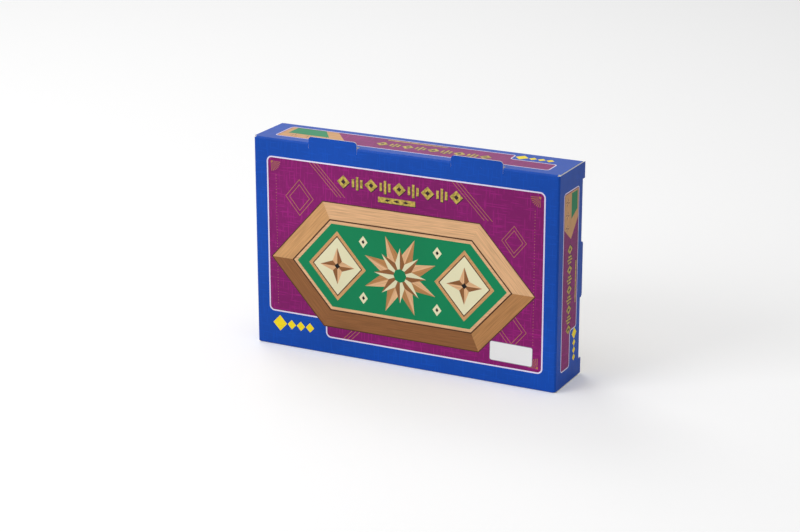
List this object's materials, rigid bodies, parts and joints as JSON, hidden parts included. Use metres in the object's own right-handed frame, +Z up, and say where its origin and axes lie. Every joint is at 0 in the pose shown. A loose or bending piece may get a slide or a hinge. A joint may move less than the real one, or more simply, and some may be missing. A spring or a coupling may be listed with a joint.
{
  "type": "boxed tile and dice game",
  "caption": "Printed two-piece card carton, standing on its long edge, open at the back on a wooden tile-flipping dice game: felt tray, numbered tiles on a rod and two dice.",
  "frame": {"origin": "middle of the carton's footprint on the surface that it stands on", "axes": "+X along the carton's long edge, to the right as seen from its front panel; +Y from the front panel to the open back; +Z up, from the long edge that it stands on"},
  "size_m": [0.232, 0.044, 0.1575],
  "materials": {
    "printed_card": "printed and varnished folding card, satin, white at its cut edges",
    "plain_card": "unprinted white-lined folding card, matt",
    "paper": "uncoated folded paper, blank",
    "beech_rail": "planed light hardwood, clear satin lacquer",
    "beech_trim": "moulded light hardwood strip, clear satin lacquer",
    "beech_tile": "sanded light hardwood tile, clear matt lacquer, black stamped numerals",
    "plywood": "thin plywood, sanded",
    "felt": "pressed green felt",
    "steel": "drawn steel wire, bright",
    "die_plastic": "moulded cream plastic with black painted pips"
  },
  "bodies": {
    "outer_carton": {"outer_carton": "printed_card"},
    "base_tray": {"base_tray": "plain_card", "rules_sheet": "paper"},
    "game": {"rail_front": "beech_rail", "rail_back": "beech_rail", "rail_left": "beech_rail", "rail_right": "beech_rail", "bead_left": "beech_trim", "bead_right": "beech_trim", "floor_board": "plywood", "felt_well": "felt", "felt_row": "felt", "rest_strip": "beech_trim", "tile_rod": "steel"},
    "tile_1": {"tile_1": "beech_tile"},
    "tile_2": {"tile_2": "beech_tile"},
    "tile_3": {"tile_3": "beech_tile"},
    "tile_4": {"tile_4": "beech_tile"},
    "tile_5": {"tile_5": "beech_tile"},
    "tile_6": {"tile_6": "beech_tile"},
    "tile_7": {"tile_7": "beech_tile"},
    "tile_8": {"tile_8": "beech_tile"},
    "tile_9": {"tile_9": "beech_tile"},
    "tile_10": {"tile_10": "beech_tile"},
    "die_1": {"die_1": "die_plastic"},
    "die_2": {"die_2": "die_plastic"}
  },
  "joints": [
    {"name": "base_slide", "type": "slide", "parent": "outer_carton", "child": "base_tray", "axis": [0, 1, 0], "range_m": [0, 0.044]},
    {"name": "game_lift", "type": "slide", "parent": "base_tray", "child": "game", "axis": [0, 1, 0], "range_m": [0, 0.036]},
    {"name": "tile_1_turn", "type": "hinge", "parent": "game", "child": "tile_1", "pos_m": [0.081, -0.00358, 0.12618], "axis": [1, 0, 0], "range_deg": [0, 121]},
    {"name": "tile_2_turn", "type": "hinge", "parent": "game", "child": "tile_2", "pos_m": [0.063, -0.00358, 0.12618], "axis": [1, 0, 0], "range_deg": [0, 121]},
    {"name": "tile_3_turn", "type": "hinge", "parent": "game", "child": "tile_3", "pos_m": [0.045, -0.00358, 0.12618], "axis": [1, 0, 0], "range_deg": [0, 121]},
    {"name": "tile_4_turn", "type": "hinge", "parent": "game", "child": "tile_4", "pos_m": [0.027, -0.00358, 0.12618], "axis": [1, 0, 0], "range_deg": [0, 121]},
    {"name": "tile_5_turn", "type": "hinge", "parent": "game", "child": "tile_5", "pos_m": [0.009, -0.00358, 0.12618], "axis": [1, 0, 0], "range_deg": [0, 121]},
    {"name": "tile_6_turn", "type": "hinge", "parent": "game", "child": "tile_6", "pos_m": [-0.009, -0.00358, 0.12618], "axis": [1, 0, 0], "range_deg": [0, 121]},
    {"name": "tile_7_turn", "type": "hinge", "parent": "game", "child": "tile_7", "pos_m": [-0.027, -0.00358, 0.12618], "axis": [1, 0, 0], "range_deg": [0, 121]},
    {"name": "tile_8_turn", "type": "hinge", "parent": "game", "child": "tile_8", "pos_m": [-0.045, -0.00358, 0.12618], "axis": [1, 0, 0], "range_deg": [0, 121]},
    {"name": "tile_9_turn", "type": "hinge", "parent": "game", "child": "tile_9", "pos_m": [-0.063, -0.00358, 0.12618], "axis": [1, 0, 0], "range_deg": [0, 121]},
    {"name": "tile_10_turn", "type": "hinge", "parent": "game", "child": "tile_10", "pos_m": [-0.081, -0.00358, 0.12618], "axis": [1, 0, 0], "range_deg": [0, 121]},
    {"name": "die_1_lift", "type": "slide", "parent": "game", "child": "die_1", "axis": [0, 1, 0], "range_m": [0, 0.024]},
    {"name": "die_2_lift", "type": "slide", "parent": "game", "child": "die_2", "axis": [0, 1, 0], "range_m": [0, 0.024]}
  ]
}
